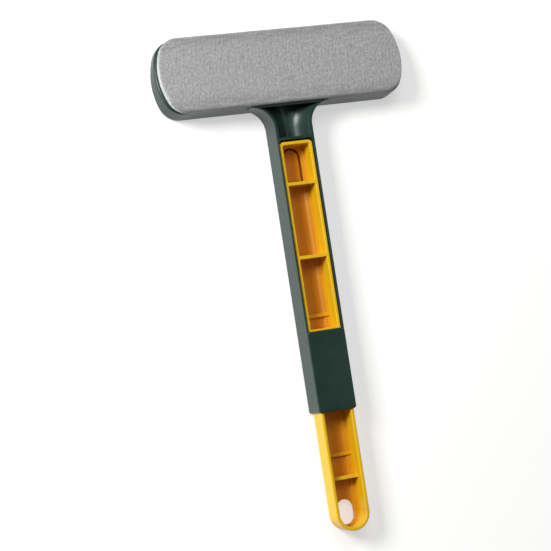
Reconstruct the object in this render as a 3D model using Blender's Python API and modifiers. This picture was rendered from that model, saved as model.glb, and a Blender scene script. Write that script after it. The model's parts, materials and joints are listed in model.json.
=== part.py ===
"""Telescopic window wiper: a T-shaped moulding with a cloth-faced head, and a ribbed grip that slides out.

It lies on its back. X runs along the head, Y up the handle towards the head, Z out of the back's flat face.
Along the handle, places are measured from the collar's upper edge, and an empty then moves the whole
object so that its origin is under the middle of its bounding box.
"""

from math import asin, atan2, cos, pi, radians, sin, sqrt

import bmesh
import bpy
from mathutils import Vector

MM = 0.001
FIT_GAP = 0.3 * MM  # between pieces that touch or slide on each other
CUT_PAST = 2.0 * MM  # how far a cutter runs past a face that it opens
SUNK = 0.5 * MM  # how far a bar's ends run into the walls that it joins

# Handle channel
HANDLE_WIDTH = 23.0 * MM
HANDLE_DEPTH = 15.2 * MM
SIDE_WALL = 1.1 * MM
BACK_WALL = 1.7 * MM
WINDOW_LENGTH = 108.0 * MM  # the open front, above the collar
COLLAR_LENGTH = 45.6 * MM
COLLAR_PROUD = 0.5 * MM
COLLAR_WALL = 1.2 * MM
BACK_EDGE_RADIUS = 1.2 * MM
FRONT_EDGE_RADIUS = 0.5 * MM

# Neck
NECK_LENGTH = 21.1 * MM  # from the window's upper edge to the pad's lower edge
NECK_FILLET = 12.5 * MM
NECK_RIM = 1.6 * MM
NECK_BAR = 1.6 * MM  # the bar between the window and the dish
DISH_DEPTH = 9.0 * MM
DISH_TO_FLARE = 0.4 * MM  # from the dish's upper edge to where the fillets end
FLARE_TO_PAD = 1.2 * MM  # from there to the pad's lower edge
FLARE_SUNK = 6.0 * MM  # how far the neck runs on into the tray

# Head tray, whose front face leans back from the handle's
HEAD_LENGTH = 150.4 * MM
HEAD_HEIGHT = 43.0 * MM
HEAD_TOP_Z = 9.69 * MM  # height of the pad's upper front edge above the back face
END_RADIUS = 38.0 * MM
CORNER_RADIUS = 12.0 * MM
TRAY_WALL = 2.0 * MM
TRAY_FLOOR = 1.8 * MM
TRAY_EDGE_RADIUS = 1.5 * MM

# Pad, from the front face backwards
PAD_END_INSET = 1.6 * MM
PAD_OVERHANG = 0.35 * MM
PAD_RISE = 1.7 * MM  # of its front face, at its lower edge, above the handle's rims
PAD_ROOM = 0.6 * MM  # between its lower edge and the neck
CLOTH_THICKNESS = 1.0 * MM
FOAM_THICKNESS = 1.9 * MM
LOOP_THICKNESS = 0.5 * MM

# Plate that closes the tray, with its hook tape and screws
PLATE_THICKNESS = 2.0 * MM
HOOK_THICKNESS = 0.8 * MM
HOOK_SPACING = 4.0 * MM
HOOK_TO_SCREW = 5.5 * MM
HOOK_FROM_EDGE = 7.5 * MM
SCREW_FROM_END = 14.4 * MM
SCREW_FROM_EDGE = 12.0 * MM
SCREW_HEAD_RADIUS = 2.5 * MM
SCREW_HEAD_HEIGHT = 1.4 * MM
SCREW_SEAT = 0.8 * MM
SCREW_RADIUS = 1.2 * MM
SCREW_POINT = 1.2 * MM
SCREW_TO_BACK = 1.3 * MM  # from the upper screws' tips to the back face
BOSS_WALL = 1.6 * MM

# Sliding grip
SLIDER_LENGTH = 220.1 * MM
SLIDER_WALL = 2.0 * MM
SLIDER_DRAFT = 0.4 * MM  # outside, over the grip's depth
INNER_DRAFT = 0.2 * MM
SLIDER_CORNER = 2.3 * MM
SLIDER_TOP_GAP = 0.9 * MM
SLIDER_BACK_RADIUS = 0.8 * MM
SLIDER_RIM_CHAMFER = 0.2 * MM
LEDGE_THICKNESS = 2.2 * MM
WEB_THICKNESS = 1.2 * MM
TROUGH_WIDTH = 11.6 * MM
TROUGH_CHAMFER = 1.3 * MM
RIB_THICKNESS = 2.0 * MM
RIB_PITCH = 41.6 * MM
TOP_BAY = 23.9 * MM  # from the grip's top to its first rib's middle
LOW_RIB_HEIGHT = 1.0 * MM
LOW_RIB_FROM_TOP = 98.5 * MM
LOW_RIB_FROM_END = 42.8 * MM
LAST_RIB_HEIGHT = 6.0 * MM
LAST_RIB_FROM_END = 29.8 * MM
HANG_HOLE_WIDTH = 10.0 * MM
HANG_HOLE_HEIGHT = 14.0 * MM
HANG_HOLE_FROM_END = 10.5 * MM

# Latch tongue, sprung from the grip's web, and the groove that its peg runs in
TONGUE_WIDTH = 9.4 * MM
TONGUE_SLIT = 1.0 * MM
TONGUE_TIP_FROM_TOP = 3.8 * MM
TONGUE_FROM_RIB = 1.1 * MM
PEG_FROM_TIP = 6.4 * MM
PEG_RADIUS = 2.2 * MM
PEG_TIP_RADIUS = 1.65 * MM
PEG_HEIGHT = 0.9 * MM
GROOVE_DEPTH = 0.9 * MM
GROOVE_SIDE_GAP = 0.6 * MM
SLIDE_TRAVEL = 92.0 * MM
CLICK_STOPS = 3
CLICK_WINDOW_RADIUS = 3.2 * MM

GREEN = (0.012, 0.024, 0.021)
YELLOW = (0.72, 0.39, 0.025)
GREY = (0.34, 0.34, 0.34)
WHITE = (0.72, 0.74, 0.73)
BLACK = (0.02, 0.02, 0.02)
STEEL = (0.55, 0.55, 0.56)

# Heights above the back face
RIM_Z = HANDLE_DEPTH
COLLAR_FRONT_Z = HANDLE_DEPTH + COLLAR_PROUD
TUNNEL_TOP_Z = COLLAR_FRONT_Z - COLLAR_WALL
SLIDER_BACK_Z = BACK_WALL + FIT_GAP
SLIDER_RIM_Z = TUNNEL_TOP_Z - FIT_GAP
LEDGE_Z = SLIDER_BACK_Z + LEDGE_THICKNESS
WEB_Z = SLIDER_BACK_Z + WEB_THICKNESS

# Places along the handle, from the collar's upper edge
SLIDER_TOP = WINDOW_LENGTH - SLIDER_TOP_GAP
SLIDER_END = SLIDER_TOP - SLIDER_LENGTH
SLIDER_HALF = HANDLE_WIDTH / 2 - SIDE_WALL - FIT_GAP
TONGUE_TIP = SLIDER_TOP - TONGUE_TIP_FROM_TOP
TONGUE_ROOT = SLIDER_TOP - TOP_BAY + RIB_THICKNESS / 2 + TONGUE_FROM_RIB
PEG_Y = TONGUE_TIP - PEG_FROM_TIP
HANG_HOLE_Y = SLIDER_END + HANG_HOLE_FROM_END

# The head's own frame: its origin is the middle of the pad's lower front edge, Y up the pad, Z out of it
HEAD_ORIGIN = Vector((0, WINDOW_LENGTH + NECK_LENGTH, HANDLE_DEPTH + PAD_RISE))
FLARE_TOP = HEAD_ORIGIN.y - FLARE_TO_PAD
PAD_LENGTH = HEAD_LENGTH - 2 * PAD_END_INSET
PAD_HEIGHT = HEAD_HEIGHT + 2 * PAD_OVERHANG
HEAD_TILT = asin((HEAD_ORIGIN.z - HEAD_TOP_Z) / PAD_HEIGHT)
PAD_BACK = -(CLOTH_THICKNESS + FOAM_THICKNESS + LOOP_THICKNESS + 2 * FIT_GAP)
TRAY_FRONT = PAD_BACK - FIT_GAP
PLATE_FRONT = TRAY_FRONT - HOOK_THICKNESS - FIT_GAP
PLATE_BACK = PLATE_FRONT - PLATE_THICKNESS
BOSS_TOP = PLATE_BACK - FIT_GAP
PAD_MIDDLE = PAD_HEIGHT / 2

# Screws, in two rows, and the hook tapes that share the length between them
SCREW_X = HEAD_LENGTH / 2 - SCREW_FROM_END
SCREW_ROW = HEAD_HEIGHT / 2 - SCREW_FROM_EDGE
HOOK_WIDTH = (2 * (SCREW_X - SCREW_HEAD_RADIUS - HOOK_TO_SCREW) - 2 * HOOK_SPACING) / 3
HOOK_HEIGHT = HEAD_HEIGHT - 2 * HOOK_FROM_EDGE


def clear_scene():
    for old in list(bpy.data.objects):
        bpy.data.objects.remove(old, do_unlink=True)


def collection(name):
    group = bpy.data.collections.new(name)
    bpy.context.scene.collection.children.link(group)
    return group


def material(name, colour, roughness, metallic=0.0):
    made = bpy.data.materials.new(name)
    made.use_nodes = True
    shader = made.node_tree.nodes["Principled BSDF"]
    shader.inputs["Base Color"].default_value = (*colour, 1)
    shader.inputs["Roughness"].default_value = roughness
    shader.inputs["Metallic"].default_value = metallic
    return made


# Outlines, as anticlockwise lists of 2-D points


def arc(centre, radius, start, end, steps):
    """Points on a circle from one angle to another, both ends included."""
    turn = [start + (end - start) * i / steps for i in range(steps + 1)]
    return [Vector((centre[0] + radius * cos(a), centre[1] + radius * sin(a))) for a in turn]


def mirrored(right):
    """A right half, from its lower to its upper end, and its mirror image."""
    return right + [Vector((-p.x, p.y)) for p in reversed(right)]


def head_outline(length, height):
    """A flat-topped shape whose ends are shallow arcs, with rounded corners, about its own middle."""
    end_x = length / 2 - END_RADIUS
    corner_y = height / 2 - CORNER_RADIUS
    corner_x = end_x + sqrt((END_RADIUS - CORNER_RADIUS) ** 2 - corner_y**2)
    meet = atan2(corner_y, corner_x - end_x)
    right = arc((corner_x, -corner_y), CORNER_RADIUS, -pi / 2, -meet, 7)[:-1]
    right += arc((end_x, 0), END_RADIUS, -meet, meet, 12)
    right += arc((corner_x, corner_y), CORNER_RADIUS, meet, pi / 2, 7)[1:]
    return mirrored(right)


def handle_outline():
    """The handle from the collar's lower end, flaring through the neck's fillets into the head."""
    half = HANDLE_WIDTH / 2
    corner = BACK_EDGE_RADIUS
    right = arc((half - corner, corner - COLLAR_LENGTH), corner, -pi / 2, 0, 4)
    right += arc((half + NECK_FILLET, FLARE_TOP - NECK_FILLET), NECK_FILLET, pi, pi / 2, 12)
    right.append(Vector((half + NECK_FILLET, FLARE_TOP + FLARE_SUNK)))
    return mirrored(right)


def slider_outline():
    """The grip: small corners at its top and a full round at its hanging end."""
    top = SLIDER_TOP - SLIDER_CORNER
    right = arc((0, SLIDER_END + SLIDER_HALF), SLIDER_HALF, -pi / 2, 0, 14)[1:]
    right += arc((SLIDER_HALF - SLIDER_CORNER, top), SLIDER_CORNER, 0, pi / 2, 5)
    bottom = [Vector((0, SLIDER_END))]
    return bottom + right + [Vector((-p.x, p.y)) for p in reversed(right)]


def stadium(half_width, low, high):
    """A slot shape with fully round ends, from its lowest to its highest point."""
    right = arc((0, low + half_width), half_width, -pi / 2, 0, 8)[1:]
    right += arc((0, high - half_width), half_width, 0, pi / 2, 8)[:-1]
    left = [Vector((-p.x, p.y)) for p in reversed(right)]
    return [Vector((0, low))] + right + [Vector((0, high))] + left


def inset(outline, distance):
    """The outline moved inwards, each point along the line that halves its corner."""
    moved = []
    for i, point in enumerate(outline):
        before = (point - outline[i - 1]).normalized()
        after = (outline[(i + 1) % len(outline)] - point).normalized()
        along = (before + after).normalized()
        inward = Vector((-along.y, along.x))
        moved.append(point + inward * distance / along.dot(after))
    return moved


# Solids


def link(name, mesh, group, parent):
    made = bpy.data.objects.new(name, mesh)
    group.objects.link(made)
    made.parent = parent
    return made


def mesh_from(name, build):
    mesh = bpy.data.meshes.new(name)
    shape = bmesh.new()
    build(shape)
    bmesh.ops.recalc_face_normals(shape, faces=shape.faces)
    shape.to_mesh(mesh)
    shape.free()
    return mesh


def loft(name, rings, group, parent):
    """A closed skin through rings of points, each ring with as many points as the last."""

    def build(shape):
        rows = [[shape.verts.new(point) for point in ring] for ring in rings]
        for lower, upper in zip(rows, rows[1:]):
            for i in range(len(lower)):
                shape.faces.new((lower[i - 1], lower[i], upper[i], upper[i - 1]))
        shape.faces.new(list(reversed(rows[0])))
        shape.faces.new(rows[-1])

    return link(name, mesh_from(name, build), group, parent)


def prism(name, outline, profile, group, parent):
    """An outline carried upwards through (inset, height) pairs."""
    rings = [[(p.x, p.y, height) for p in inset(outline, by)] for by, height in profile]
    return loft(name, rings, group, parent)


def block(name, low, high, group, parent):
    def build(shape):
        bmesh.ops.create_cube(shape, size=1)
        for vert in shape.verts:
            for axis in range(3):
                vert.co[axis] = low[axis] if vert.co[axis] < 0 else high[axis]

    return link(name, mesh_from(name, build), group, parent)


def round_bar(name, centre, radii, low, high, group, parent, sides=24):
    """A cylinder or cone along Z, from its lower to its upper radius."""

    def build(shape):
        bmesh.ops.create_cone(
            shape, cap_ends=True, segments=sides, radius1=radii[0], radius2=radii[1], depth=high - low
        )
        bmesh.ops.translate(shape, verts=shape.verts, vec=(centre[0], centre[1], (low + high) / 2))

    return link(name, mesh_from(name, build), group, parent)


def turned(name, profile, centre, group, parent, sides=24):
    """A profile of (radius, height) pairs, from its upper end on the axis to its lower, turned by a Screw."""
    mesh = mesh_from(name, lambda shape: None)
    points = [(radius, 0, height) for radius, height in profile]
    mesh.from_pydata(points, [(i, i + 1) for i in range(len(points) - 1)], [])
    made = link(name, mesh, group, parent)
    made.location = centre
    screw = made.modifiers.new("turn", "SCREW")
    screw.steps = screw.render_steps = sides
    screw.use_merge_vertices = True
    screw.merge_threshold = 0.00001
    return made


def combine(target, tools, operation):
    for tool in tools:
        step = target.modifiers.new(tool.name, "BOOLEAN")
        step.object = tool
        step.operation = operation
        tool.hide_render = True
        tool.display_type = "WIRE"


def finish(made, look, smooth_below=30):
    made.data.materials.clear()
    made.data.materials.append(look)
    made.data.shade_smooth()
    made.data.set_sharp_from_angle(angle=radians(smooth_below))


# Geometry of the leaning head


def drop_to(v, z):
    """The w of the point v up the pad that is z above the back face."""
    return (z - HEAD_ORIGIN.z + v * sin(HEAD_TILT)) / cos(HEAD_TILT)


def tray_outer(group, parent):
    """Walls square to the pad from the tray's front, rolled under to the flat back in a quarter round."""
    outline = head_outline(HEAD_LENGTH, HEAD_HEIGHT)
    rings = [[(p.x, p.y + PAD_MIDDLE, TRAY_FRONT) for p in outline]]
    for i in range(5):
        angle = pi / 2 * i / 4
        height = TRAY_EDGE_RADIUS * (1 - sin(angle))
        ring = inset(outline, TRAY_EDGE_RADIUS * (1 - cos(angle)))
        rings.append([(p.x, p.y + PAD_MIDDLE, drop_to(p.y + PAD_MIDDLE, height)) for p in ring])
    return loft("tray_outer", rings, group, parent)


def tray_hollow(group, parent):
    outline = inset(head_outline(HEAD_LENGTH, HEAD_HEIGHT), TRAY_WALL)
    floor = [(p.x, p.y + PAD_MIDDLE, drop_to(p.y + PAD_MIDDLE, TRAY_FLOOR)) for p in outline]
    mouth = [(p.x, p.y + PAD_MIDDLE, TRAY_FRONT + CUT_PAST) for p in outline]
    return loft("tray_hollow", [mouth, floor], group, parent)


def screw_places():
    return [(side * SCREW_X, PAD_MIDDLE + row * SCREW_ROW) for row in (-1, 1) for side in (-1, 1)]


def screw_length():
    """From under the head to the tip, as deep as the upper row allows."""
    tip = drop_to(PAD_MIDDLE + SCREW_ROW, SCREW_TO_BACK)
    return PLATE_FRONT - SCREW_SEAT + FIT_GAP - tip


def neck_dish(group, parent):
    """A dished hollow across the neck's front, as wide as the neck less its rims, deepest in the middle."""
    low = WINDOW_LENGTH + NECK_BAR
    high = FLARE_TOP - DISH_TO_FLARE
    bend = FLARE_TOP - NECK_FILLET
    rings = []
    for i in range(13):
        y = low + (high - low) * i / 12
        rise = max(0.0, y - bend)
        flare = NECK_FILLET - sqrt(max(NECK_FILLET**2 - rise**2, 0.0))
        half = HANDLE_WIDTH / 2 + flare - NECK_RIM
        across = [-1 + j / 6 for j in range(13)]
        ring = [(half * s, y, RIM_Z - DISH_DEPTH * (1 - s * s)) for s in across]
        ring += [(half, y, RIM_Z + CUT_PAST), (-half, y, RIM_Z + CUT_PAST)]
        rings.append(ring)
    return loft("neck_dish", rings, group, parent)


# Pieces


def handle_body(looks, parts, cutters, root, head):
    outline = handle_outline()
    edge, soft = BACK_EDGE_RADIUS, FRONT_EDGE_RADIUS
    profile = [(edge * (1 - sin(a)), edge * (1 - cos(a))) for a in (0, pi / 6, pi / 3, pi / 2)]
    profile += [(soft * (1 - cos(a)), RIM_Z - soft * (1 - sin(a))) for a in (0, pi / 4, pi / 2)]
    body = prism("handle_body", outline, profile, parts, root)

    half = HANDLE_WIDTH / 2
    bridge = block(
        "collar_bridge",
        (-half + soft, -COLLAR_LENGTH + soft, RIM_Z - 2 * soft),
        (half - soft, 0, COLLAR_FRONT_Z),
        cutters,
        root,
    )
    pad_room = block(
        "pad_room",
        (-HEAD_LENGTH, -PAD_ROOM, TRAY_FRONT),
        (HEAD_LENGTH, 2 * PAD_HEIGHT, TRAY_FRONT + PAD_HEIGHT),
        cutters,
        head,
    )
    combine(body, [tray_outer(cutters, head), bridge], "UNION")
    combine(body, [pad_room, tray_hollow(cutters, head), neck_dish(cutters, root)], "DIFFERENCE")

    inner = half - SIDE_WALL
    corner = arc((inner - SLIDER_CORNER, WINDOW_LENGTH - SLIDER_CORNER), SLIDER_CORNER, 0, pi / 2, 5)
    channel = prism(
        "channel",
        mirrored([Vector((inner, -COLLAR_LENGTH - CUT_PAST))] + corner),
        [(0, BACK_WALL), (0, TUNNEL_TOP_Z)],
        cutters,
        root,
    )
    opening = prism(
        "window",
        mirrored([Vector((inner, 0))] + corner),
        [(0, BACK_WALL + CUT_PAST), (0, COLLAR_FRONT_Z + CUT_PAST)],
        cutters,
        root,
    )
    reach = PEG_RADIUS + GROOVE_SIDE_GAP
    groove = prism(
        "peg_groove",
        stadium(reach, PEG_Y - SLIDE_TRAVEL - reach, PEG_Y + reach),
        [(0, BACK_WALL - GROOVE_DEPTH), (0, BACK_WALL + CUT_PAST)],
        cutters,
        root,
    )
    windows = [
        round_bar(
            f"click_window_{i}",
            (0, PEG_Y - SLIDE_TRAVEL * i / (CLICK_STOPS - 1)),
            (CLICK_WINDOW_RADIUS, CLICK_WINDOW_RADIUS),
            -CUT_PAST,
            BACK_WALL + CUT_PAST,
            cutters,
            root,
        )
        for i in range(CLICK_STOPS)
    ]
    combine(body, [channel, opening, groove, *windows], "DIFFERENCE")

    bosses, pilots = [], []
    bottom = PLATE_FRONT - SCREW_SEAT - screw_length()
    hole = SCREW_RADIUS + FIT_GAP
    for i, (x, v) in enumerate(screw_places()):
        floor = drop_to(v, TRAY_FLOOR / 2)
        wide = hole + BOSS_WALL
        bosses.append(round_bar(f"boss_{i}", (x, v), (wide, wide), floor, BOSS_TOP, cutters, head, 20))
        pilots.append(
            round_bar(f"pilot_{i}", (x, v), (hole, hole), bottom, BOSS_TOP + CUT_PAST, cutters, head, 20)
        )
    combine(body, bosses, "UNION")
    combine(body, pilots, "DIFFERENCE")
    finish(body, looks["green"])


def slider(looks, parts, cutters, root):
    outline = slider_outline()
    rolled = SLIDER_BACK_RADIUS
    profile = [
        (SLIDER_DRAFT + rolled * (1 - sin(a)), SLIDER_BACK_Z + rolled * (1 - cos(a)))
        for a in (0, pi / 6, pi / 3, pi / 2)
    ]
    profile += [(0, SLIDER_RIM_Z - SLIDER_RIM_CHAMFER), (SLIDER_RIM_CHAMFER, SLIDER_RIM_Z)]
    grip = prism("sliding_grip", outline, profile, parts, root)

    hollow = prism(
        "grip_hollow",
        outline,
        [(SLIDER_WALL + INNER_DRAFT, LEDGE_Z), (SLIDER_WALL, SLIDER_RIM_Z + CUT_PAST)],
        cutters,
        root,
    )
    trough_half = TROUGH_WIDTH / 2
    trough = prism(
        "web_trough",
        stadium(trough_half, HANG_HOLE_Y - trough_half, TONGUE_TIP + TONGUE_SLIT),
        [(TROUGH_CHAMFER, WEB_Z), (0, LEDGE_Z), (0, LEDGE_Z + CUT_PAST)],
        cutters,
        root,
    )
    combine(grip, [hollow, trough], "DIFFERENCE")

    inside = SLIDER_HALF - SLIDER_WALL + SUNK
    ribs = [(SLIDER_END + LAST_RIB_FROM_END, LEDGE_Z + LAST_RIB_HEIGHT)]
    ribs += [(SLIDER_TOP - LOW_RIB_FROM_TOP, LEDGE_Z + LOW_RIB_HEIGHT)]
    ribs += [(SLIDER_END + LOW_RIB_FROM_END, LEDGE_Z + LOW_RIB_HEIGHT)]
    y = SLIDER_TOP - TOP_BAY
    while y > SLIDER_END + LOW_RIB_FROM_END + RIB_PITCH / 3:
        ribs.append((y, SLIDER_RIM_Z))
        y -= RIB_PITCH
    half = RIB_THICKNESS / 2
    bars = [
        block(f"rib_{i}", (-inside, y - half, WEB_Z - SUNK), (inside, y + half, top), cutters, root)
        for i, (y, top) in enumerate(ribs)
    ]
    combine(grip, bars, "UNION")

    hang_hole = prism(
        "hang_hole",
        stadium(
            HANG_HOLE_WIDTH / 2, HANG_HOLE_Y - HANG_HOLE_HEIGHT / 2, HANG_HOLE_Y + HANG_HOLE_HEIGHT / 2
        ),
        [(0, SLIDER_BACK_Z - CUT_PAST), (0, LEDGE_Z + CUT_PAST)],
        cutters,
        root,
    )
    slit_half = TONGUE_WIDTH / 2 + TONGUE_SLIT
    tip = TONGUE_TIP + TONGUE_SLIT
    slit = [Vector((slit_half, TONGUE_ROOT - FIT_GAP))]
    slit += arc((0, tip - slit_half), slit_half, 0, pi / 2, 8)[:-1]
    slit_outline = slit + [Vector((0, tip))] + [Vector((-p.x, p.y)) for p in reversed(slit)]
    tongue_room = prism(
        "tongue_room",
        slit_outline,
        [(0, SLIDER_BACK_Z - CUT_PAST), (0, LEDGE_Z + CUT_PAST)],
        cutters,
        root,
    )
    combine(grip, [hang_hole, tongue_room], "DIFFERENCE")
    finish(grip, looks["yellow"])


def latch_tongue(looks, parts, cutters, root):
    """A flat tongue with a round tip and a tapered peg on its back. Its root is where it bends."""
    half = TONGUE_WIDTH / 2
    length = TONGUE_TIP - TONGUE_ROOT
    middle = WEB_THICKNESS / 2
    right = [Vector((half, 0))] + arc((0, length - half), half, 0, pi / 2, 8)[:-1]
    outline = right + [Vector((0, length))] + [Vector((-p.x, p.y)) for p in reversed(right)]
    tongue = prism("latch_tongue", outline, [(0, -middle), (0, middle)], parts, root)
    tongue.location = (0, TONGUE_ROOT, SLIDER_BACK_Z + middle)
    peg = round_bar(
        "peg",
        (0, PEG_Y),
        (PEG_TIP_RADIUS, PEG_RADIUS),
        SLIDER_BACK_Z - PEG_HEIGHT,
        SLIDER_BACK_Z + middle,
        cutters,
        root,
        20,
    )
    combine(tongue, [peg], "UNION")
    finish(tongue, looks["yellow"])


def pad_plate(looks, parts, cutters, head):
    outline = inset(head_outline(HEAD_LENGTH, HEAD_HEIGHT), TRAY_WALL + FIT_GAP)
    outline = [Vector((p.x, p.y + PAD_MIDDLE)) for p in outline]
    plate = prism("pad_plate", outline, [(0, PLATE_BACK), (0, PLATE_FRONT)], parts, head)
    seat = SCREW_HEAD_RADIUS + FIT_GAP
    hole = SCREW_RADIUS + FIT_GAP
    above, below = PLATE_FRONT + CUT_PAST, PLATE_BACK - CUT_PAST
    holes = []
    for i, (x, v) in enumerate(screw_places()):
        holes.append(
            round_bar(f"seat_{i}", (x, v), (seat, seat), PLATE_FRONT - SCREW_SEAT, above, cutters, head)
        )
        holes.append(round_bar(f"plate_hole_{i}", (x, v), (hole, hole), below, above, cutters, head, 20))
    combine(plate, holes, "DIFFERENCE")
    finish(plate, looks["green"])


def plate_screws(looks, parts, head):
    """Pan-head tapping screws, each turned from one profile, their heads in the plate's seats."""
    under = PLATE_FRONT - SCREW_SEAT + FIT_GAP
    long, wide, thin, high = screw_length(), SCREW_HEAD_RADIUS, SCREW_RADIUS, SCREW_HEAD_HEIGHT
    profile = [(0, high), (wide * 0.7, high), (wide * 0.95, high * 0.7), (wide, high * 0.3), (wide, 0)]
    profile += [(thin, 0), (thin, SCREW_POINT - long), (0, -long)]
    for i, (x, v) in enumerate(screw_places()):
        screw = turned(f"plate_screw_{i + 1}", profile, (x, v, under), parts, head)
        finish(screw, looks["steel"])


def hook_tapes(looks, parts, head):
    for name, place in (("left", -1), ("middle", 0), ("right", 1)):
        half_width, half_height = HOOK_WIDTH / 2, HOOK_HEIGHT / 2
        x = place * (HOOK_WIDTH + HOOK_SPACING)
        tape = block(
            f"hook_tape_{name}",
            (x - half_width, PAD_MIDDLE - half_height, PLATE_FRONT + FIT_GAP),
            (x + half_width, PAD_MIDDLE + half_height, PLATE_FRONT + FIT_GAP + HOOK_THICKNESS),
            parts,
            head,
        )
        finish(tape, looks["black"])


def pad_layers(looks, parts, head):
    """Cloth face, foam core and loop backing, all to the pad's outline."""
    outline = [Vector((p.x, p.y + PAD_MIDDLE)) for p in head_outline(PAD_LENGTH, PAD_HEIGHT)]
    top = 0.0
    layers = (
        ("cleaning_cloth", CLOTH_THICKNESS, "grey"),
        ("pad_foam", FOAM_THICKNESS, "white"),
        ("loop_backing", LOOP_THICKNESS, "white"),
    )
    for name, thickness, look in layers:
        layer = prism(name, outline, [(0, top - thickness), (0, top)], parts, head)
        finish(layer, looks[look])
        top -= thickness + FIT_GAP


def object_middle():
    """Halfway along the object, from the grip's hanging end to the head's highest point."""
    pad_top = HEAD_ORIGIN.y + PAD_HEIGHT * cos(HEAD_TILT)
    tray_top = PAD_MIDDLE + HEAD_HEIGHT / 2
    tray_top_y = HEAD_ORIGIN.y + tray_top * cos(HEAD_TILT) + TRAY_FRONT * sin(HEAD_TILT)
    return (SLIDER_END + max(pad_top, tray_top_y)) / 2


def main():
    clear_scene()
    parts = collection("window_wiper")
    cutters = collection("cutters")
    looks = {
        "green": material("green_polypropylene", GREEN, 0.38),
        "yellow": material("yellow_polypropylene", YELLOW, 0.36),
        "grey": material("grey_microfibre", GREY, 0.95),
        "white": material("white_foam", WHITE, 0.9),
        "black": material("black_hook_tape", BLACK, 0.8),
        "steel": material("steel", STEEL, 0.3, 1.0),
    }
    root = bpy.data.objects.new("wiper", None)
    parts.objects.link(root)
    root.location = (0, -object_middle(), 0)
    head = bpy.data.objects.new("head_frame", None)
    parts.objects.link(head)
    head.parent = root
    head.location = HEAD_ORIGIN
    head.rotation_euler = (-HEAD_TILT, 0, 0)

    handle_body(looks, parts, cutters, root, head)
    slider(looks, parts, cutters, root)
    latch_tongue(looks, parts, cutters, root)
    pad_plate(looks, parts, cutters, head)
    plate_screws(looks, parts, head)
    hook_tapes(looks, parts, head)
    pad_layers(looks, parts, head)


main()
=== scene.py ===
"""Looks for the telescopic window wiper: moulded polypropylene, a microfibre pad and steel screws.

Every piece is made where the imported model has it: X along the head, Y up the handle, Z out of its
flat back. Cutters reach a millimetre or more past the faces that they cut.
"""

import json
from math import atan2, cos, pi, radians, sin, sqrt

import bpy
import numpy as np
from mathutils import Matrix, Vector


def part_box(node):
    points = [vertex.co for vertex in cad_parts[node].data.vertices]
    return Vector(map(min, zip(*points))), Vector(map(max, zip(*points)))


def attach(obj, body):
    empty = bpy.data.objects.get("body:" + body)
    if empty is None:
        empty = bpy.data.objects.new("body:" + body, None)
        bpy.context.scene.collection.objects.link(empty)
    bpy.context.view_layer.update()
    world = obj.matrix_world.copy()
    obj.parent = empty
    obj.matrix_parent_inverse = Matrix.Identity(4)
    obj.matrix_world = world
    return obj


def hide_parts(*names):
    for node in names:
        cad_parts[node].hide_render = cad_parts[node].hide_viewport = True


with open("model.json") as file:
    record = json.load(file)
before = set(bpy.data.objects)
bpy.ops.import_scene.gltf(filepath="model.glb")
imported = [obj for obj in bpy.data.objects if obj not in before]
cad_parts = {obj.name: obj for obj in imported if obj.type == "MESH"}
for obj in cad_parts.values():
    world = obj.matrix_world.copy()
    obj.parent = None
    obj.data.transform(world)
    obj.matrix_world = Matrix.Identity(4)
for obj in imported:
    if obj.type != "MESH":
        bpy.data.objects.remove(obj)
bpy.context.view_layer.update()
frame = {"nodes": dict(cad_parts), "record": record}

MM = 0.001
GAP = 0.3 * MM  # between pieces that touch

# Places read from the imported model
BODY_LOW, BODY_HIGH = (np.array(corner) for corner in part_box("handle_body"))
GRIP_LOW, GRIP_HIGH = (np.array(corner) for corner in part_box("sliding_grip"))
TONGUE_LOW, TONGUE_HIGH = (np.array(corner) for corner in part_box("latch_tongue"))
CLOTH_LOW, CLOTH_HIGH = (np.array(corner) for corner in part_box("cleaning_cloth"))
WIPING_FACE = next(m for m in frame["record"]["mounts"] if m["name"] == "wiping_face")
PAD_CENTRE = np.array(WIPING_FACE["pos_m"])
PAD_OUT = np.array(WIPING_FACE["axis"])
PAD_UP = np.cross(PAD_OUT, (1, 0, 0))
HEAD_TILT = atan2(PAD_OUT[1], PAD_OUT[2])

# Handle moulding
HANDLE_HALF = 11.5 * MM
SIDE_WALL = 1.1 * MM
BACK_WALL = 1.7 * MM
RIM_Z = 15.2 * MM
COLLAR_Z = 15.7 * MM
COLLAR_WALL = 1.2 * MM
COLLAR_LENGTH = 45.6 * MM
WINDOW_LENGTH = 108.0 * MM
BACK_ROUND = 1.2 * MM
RIM_ROUND = 0.45 * MM
COLLAR_ROUND = 0.9 * MM
COLLAR_CORNER = 1.5 * MM
WINDOW_ROUND = 0.3 * MM
COLLAR_LOW = BODY_LOW[1]
COLLAR_HIGH = COLLAR_LOW + COLLAR_LENGTH
WINDOW_HIGH = COLLAR_HIGH + WINDOW_LENGTH

# Head tray and pad
TRAY_LENGTH = BODY_HIGH[0] - BODY_LOW[0]
TRAY_HEIGHT = 43.0 * MM
END_RADIUS = 38.0 * MM
CORNER_RADIUS = 12.0 * MM
TRAY_WALL = 2.0 * MM
TRAY_FLOOR = 1.8 * MM
TRAY_ROUND = 1.5 * MM
TRAY_RIM_ROUND = 1.3 * MM
LIP = 0.35 * MM
PAD_LENGTH = CLOTH_HIGH[0] - CLOTH_LOW[0]
PAD_HEIGHT = 43.7 * MM
PAD_ROOM = 0.6 * MM
CLOTH_THICK = 1.0 * MM
FOAM_THICK = 1.9 * MM
LOOP_THICK = 0.5 * MM
OPEN_ROLL = 0.85 * MM
LONG_ROLL = 1.7 * MM
FOAM_TUCK = 1.2 * MM
TUCK_END = PAD_LENGTH / 2 - 3 * MM
PAD_BACK = -(CLOTH_THICK + FOAM_THICK + LOOP_THICK + 2 * GAP)
TRAY_FRONT = PAD_BACK - GAP
HOOK_THICK = 0.8 * MM
PLATE_THICK = 2.0 * MM
PLATE_FRONT = TRAY_FRONT - HOOK_THICK - GAP
PLATE_BACK = PLATE_FRONT - PLATE_THICK
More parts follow.
